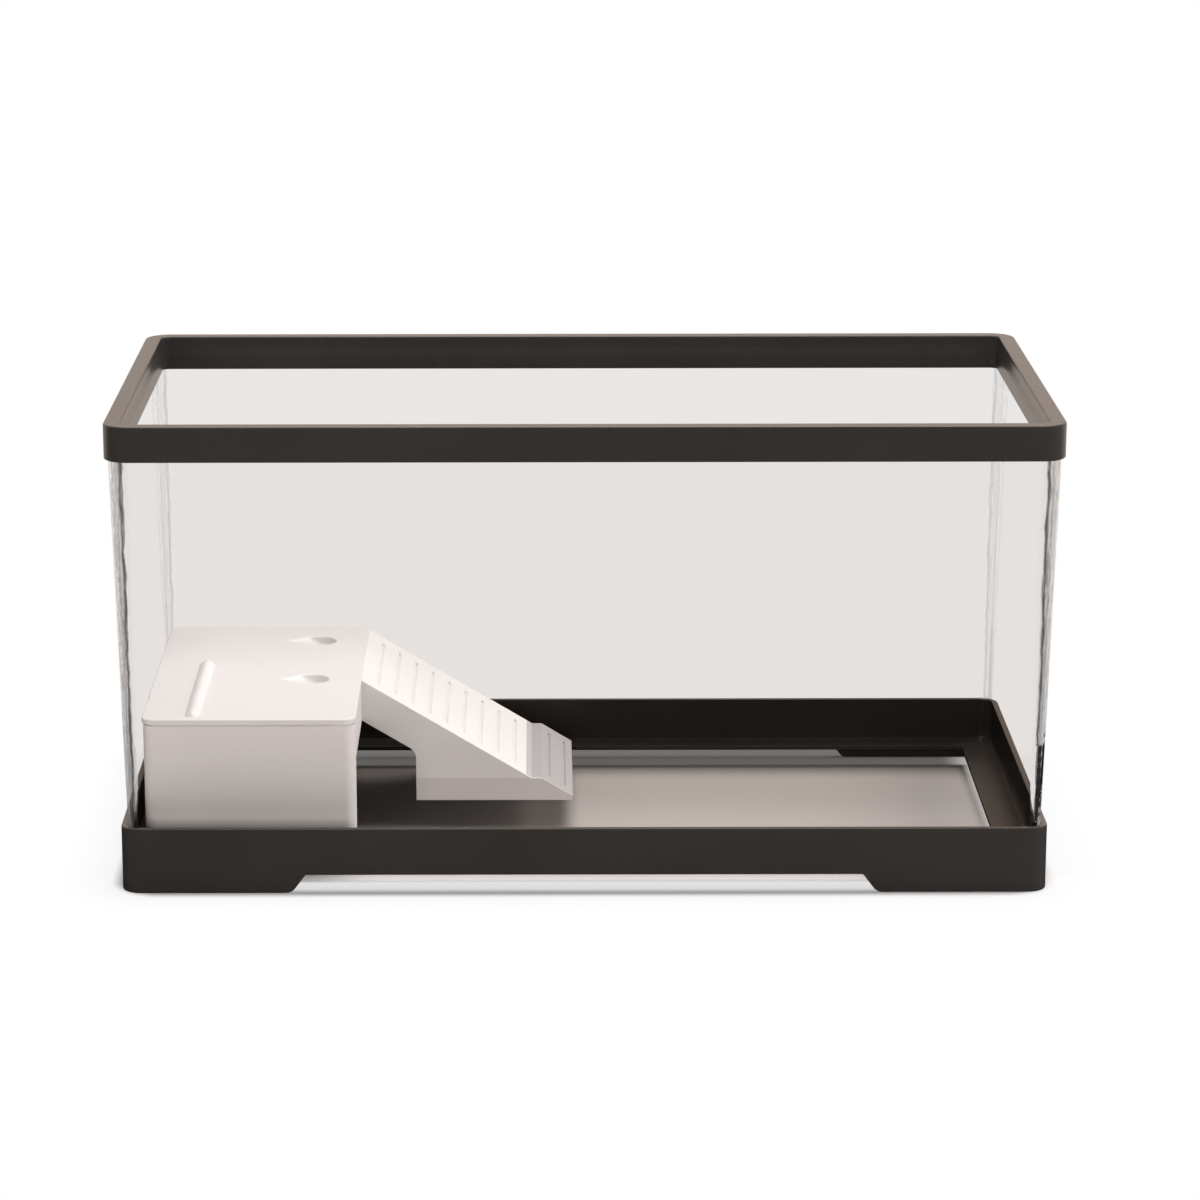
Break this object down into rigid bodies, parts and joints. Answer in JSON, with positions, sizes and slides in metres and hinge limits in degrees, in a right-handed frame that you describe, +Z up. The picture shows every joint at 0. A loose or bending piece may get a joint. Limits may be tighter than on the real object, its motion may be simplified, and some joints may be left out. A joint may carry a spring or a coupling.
{
  "type": "turtle tank",
  "caption": "Open clear plastic turtle tank with a black top rim, a black footed base frame and a white basking platform with a grooved ramp.",
  "frame": {"origin": "middle of the footprint on the plane that the feet stand on", "axes": "+X along the length of the tank towards the ramp's end, +Y from the front to the back, +Z up"},
  "size_m": [0.4, 0.21, 0.203],
  "materials": {
    "clear_plastic": "clear moulded plastic, polished",
    "black_plastic": "semi-gloss moulded plastic, very dark warm grey",
    "white_plastic": "smooth matte moulded plastic, warm white"
  },
  "bodies": {
    "root": {"tank": "clear_plastic", "top_rim": "black_plastic", "base_frame": "black_plastic", "basking_platform": "white_plastic"}
  },
  "joints": []
}
